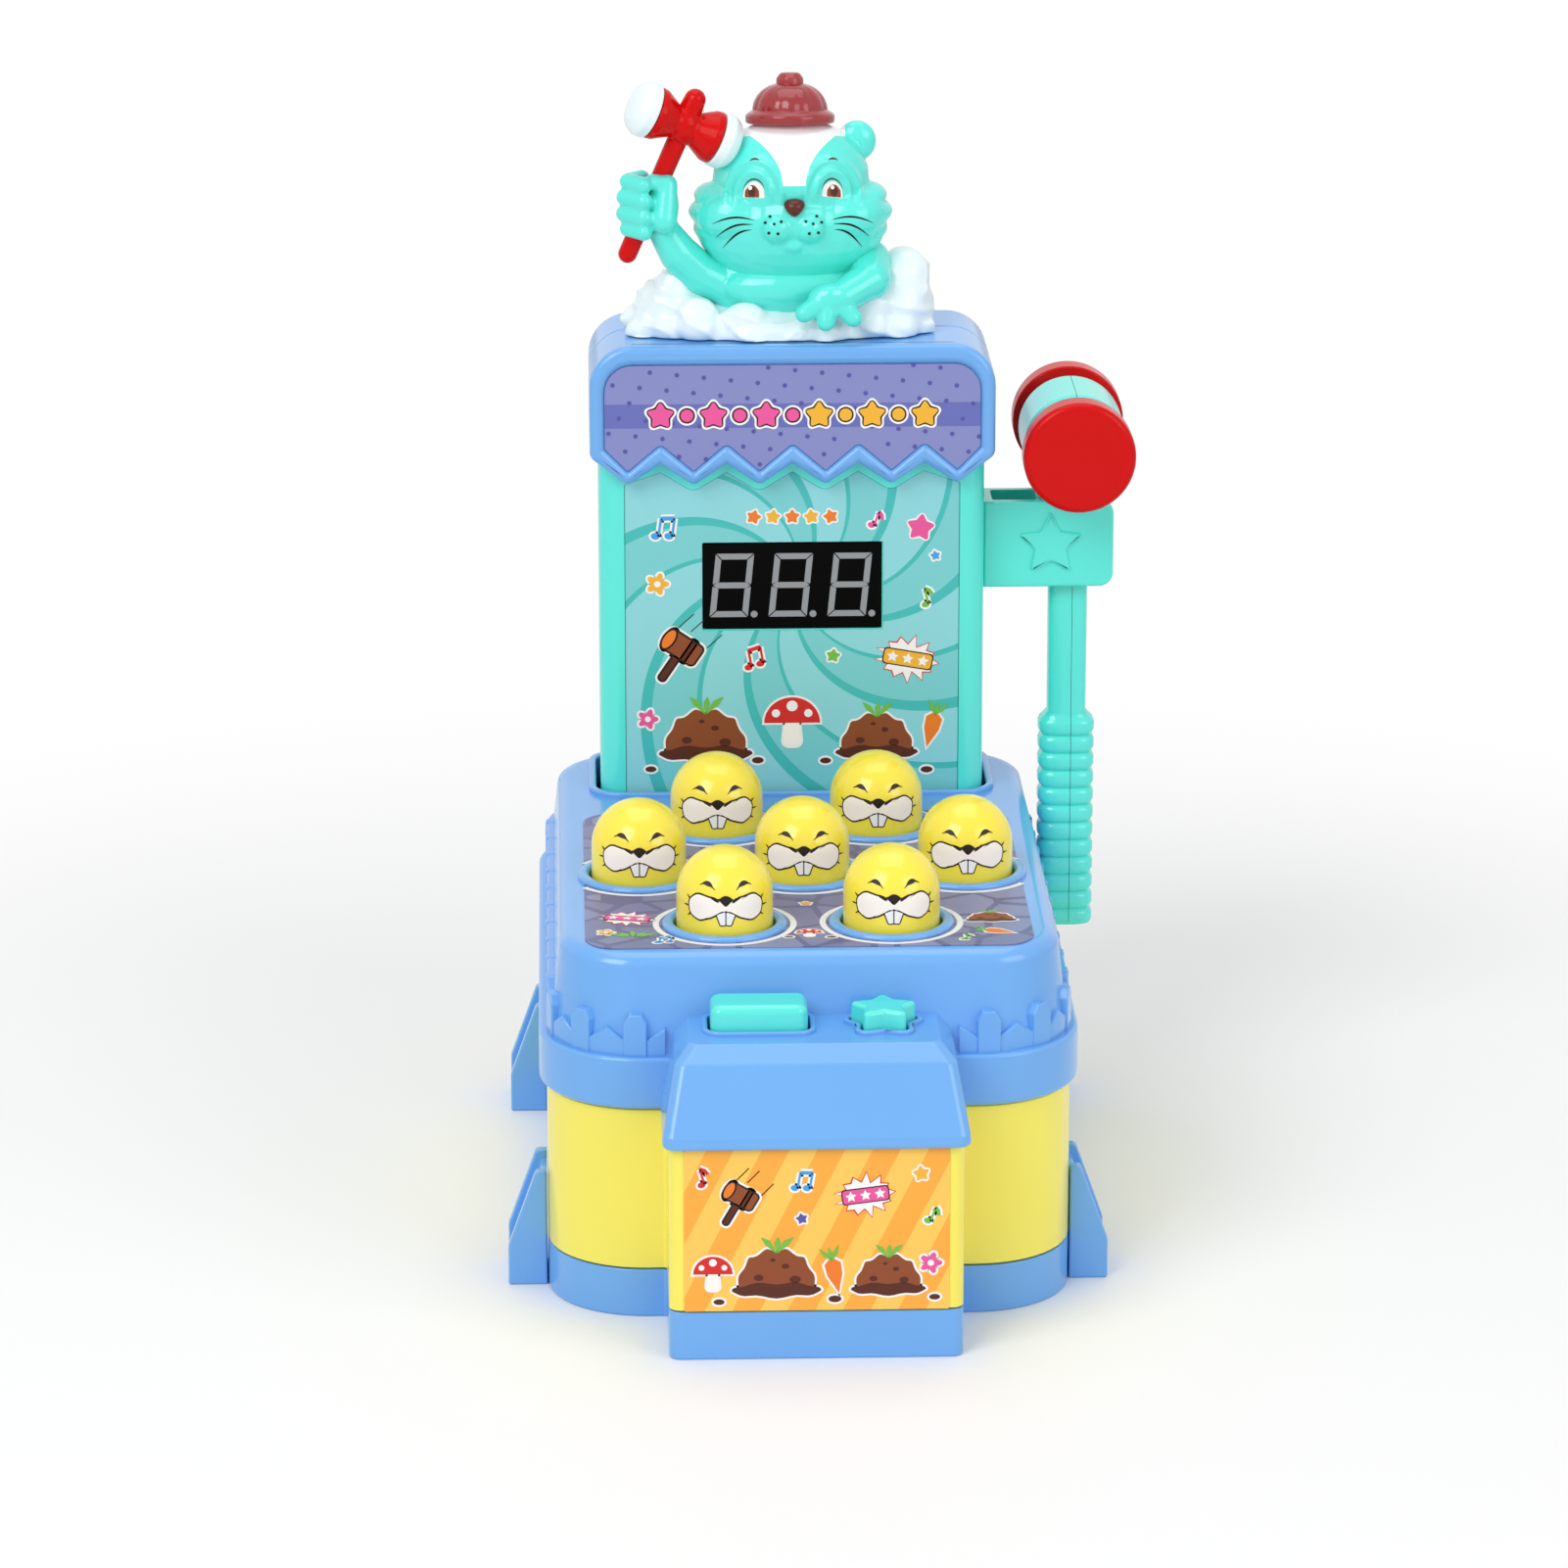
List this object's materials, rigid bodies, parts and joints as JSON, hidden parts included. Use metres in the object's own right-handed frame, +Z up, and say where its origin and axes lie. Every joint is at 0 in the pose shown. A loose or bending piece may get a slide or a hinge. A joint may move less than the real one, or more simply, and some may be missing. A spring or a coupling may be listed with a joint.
{
  "type": "mole pounding game",
  "caption": "Tabletop mole pounding game: a low cabinet with sprung domes, a score tower with a marquee and gopher figure, and a hammer in a side holder.",
  "frame": {"origin": "on the flat underside of the base tray, below the middle of the cabinet", "axes": "+X to the player's right, +Y from the console to the tower, +Z up"},
  "size_m": [0.1343, 0.1815, 0.2301],
  "materials": {
    "blue_plastic": "glossy moulded ABS",
    "yellow_plastic": "glossy moulded ABS",
    "turquoise_plastic": "glossy moulded ABS",
    "red_plastic": "glossy moulded ABS",
    "white_plastic": "glossy moulded ABS, icy white",
    "red_lens": "translucent tinted plastic",
    "clear_led": "clear epoxy lens",
    "deck_print": "printed sticker, gloss laminate",
    "console_print": "printed sticker, gloss laminate",
    "tower_print": "printed sticker, gloss laminate",
    "marquee_print": "printed sticker, gloss laminate",
    "display_black": "black display face",
    "circuit_board": "green solder mask",
    "spring_steel": "plated steel",
    "speaker_black": "paper cone and black frame",
    "battery_jacket": "plain shrink sleeve",
    "switch_black": "moulded plastic"
  },
  "bodies": {
    "cabinet": {"base_tray": "blue_plastic", "upper_shell": "blue_plastic", "foot_front_left": "blue_plastic", "foot_front_right": "blue_plastic", "foot_rear_left": "blue_plastic", "foot_rear_right": "blue_plastic", "marquee_front": "blue_plastic", "marquee_rear": "blue_plastic", "body_shell": "yellow_plastic", "tower_front": "turquoise_plastic", "tower_rear": "turquoise_plastic", "hammer_holder": "turquoise_plastic", "gopher_body": "turquoise_plastic", "gopher_head": "turquoise_plastic", "mallet": "red_plastic", "mound": "white_plastic", "mallet_left_end": "white_plastic", "mallet_right_end": "white_plastic", "hat_lamp": "red_lens", "lamp_led": "clear_led", "deck_label": "deck_print", "console_label": "console_print", "tower_label": "tower_print", "marquee_label": "marquee_print", "display_module": "display_black", "game_board": "circuit_board", "button_board": "circuit_board", "display_board": "circuit_board", "mole_spring_1": "spring_steel", "mole_spring_2": "spring_steel", "mole_spring_3": "spring_steel", "mole_spring_4": "spring_steel", "mole_spring_5": "spring_steel", "mole_spring_6": "spring_steel", "mole_spring_7": "spring_steel", "base_screw_1": "spring_steel", "base_screw_2": "spring_steel", "base_screw_3": "spring_steel", "base_screw_4": "spring_steel", "speaker": "speaker_black", "battery_1": "battery_jacket", "battery_2": "battery_jacket", "battery_3": "battery_jacket"},
    "mole_1": {"mole_1": "yellow_plastic"},
    "mole_2": {"mole_2": "yellow_plastic"},
    "mole_3": {"mole_3": "yellow_plastic"},
    "mole_4": {"mole_4": "yellow_plastic"},
    "mole_5": {"mole_5": "yellow_plastic"},
    "mole_6": {"mole_6": "yellow_plastic"},
    "mole_7": {"mole_7": "yellow_plastic"},
    "mode_button": {"mode_button": "turquoise_plastic"},
    "start_button": {"start_button": "turquoise_plastic"},
    "hammer": {"hammer_left_half": "turquoise_plastic", "hammer_right_half": "turquoise_plastic", "hammer_front_cap": "red_plastic", "hammer_rear_cap": "red_plastic"},
    "battery_door": {"battery_door": "blue_plastic", "battery_door_screw": "spring_steel"},
    "power_switch": {"power_switch": "switch_black"}
  },
  "joints": [
    {"name": "mole_1_press", "type": "slide", "parent": "cabinet", "child": "mole_1", "axis": [0, 0, -1], "range_m": [0, 0.004], "stiffness_N_per_m": 250, "springref_m": -0.002, "deforming": ["mole_spring_1"]},
    {"name": "mole_2_press", "type": "slide", "parent": "cabinet", "child": "mole_2", "axis": [0, 0, -1], "range_m": [0, 0.004], "stiffness_N_per_m": 250, "springref_m": -0.002, "deforming": ["mole_spring_2"]},
    {"name": "mole_3_press", "type": "slide", "parent": "cabinet", "child": "mole_3", "axis": [0, 0, -1], "range_m": [0, 0.004], "stiffness_N_per_m": 250, "springref_m": -0.002, "deforming": ["mole_spring_3"]},
    {"name": "mole_4_press", "type": "slide", "parent": "cabinet", "child": "mole_4", "axis": [0, 0, -1], "range_m": [0, 0.004], "stiffness_N_per_m": 250, "springref_m": -0.002, "deforming": ["mole_spring_4"]},
    {"name": "mole_5_press", "type": "slide", "parent": "cabinet", "child": "mole_5", "axis": [0, 0, -1], "range_m": [0, 0.004], "stiffness_N_per_m": 250, "springref_m": -0.002, "deforming": ["mole_spring_5"]},
    {"name": "mole_6_press", "type": "slide", "parent": "cabinet", "child": "mole_6", "axis": [0, 0, -1], "range_m": [0, 0.004], "stiffness_N_per_m": 250, "springref_m": -0.002, "deforming": ["mole_spring_6"]},
    {"name": "mole_7_press", "type": "slide", "parent": "cabinet", "child": "mole_7", "axis": [0, 0, -1], "range_m": [0, 0.004], "stiffness_N_per_m": 250, "springref_m": -0.002, "deforming": ["mole_spring_7"]},
    {"name": "mode_button_press", "type": "slide", "parent": "cabinet", "child": "mode_button", "axis": [0, 0, -1], "range_m": [0, 0.0015], "stiffness_N_per_m": 400, "springref_m": -0.001},
    {"name": "start_button_press", "type": "slide", "parent": "cabinet", "child": "start_button", "axis": [0, 0, -1], "range_m": [0, 0.0015], "stiffness_N_per_m": 400, "springref_m": -0.001},
    {"name": "hammer_lift", "type": "slide", "parent": "cabinet", "child": "hammer", "axis": [0, 0, 1], "range_m": [0, 0.11]},
    {"name": "battery_door_hinge", "type": "hinge", "parent": "cabinet", "child": "battery_door", "pos_m": [0, 0.0668, 0.0004], "axis": [1, 0, 0], "range_deg": [0, 100]},
    {"name": "power_switch_slide", "type": "slide", "parent": "cabinet", "child": "power_switch", "axis": [1, 0, 0], "range_m": [0, 0.003]}
  ]
}
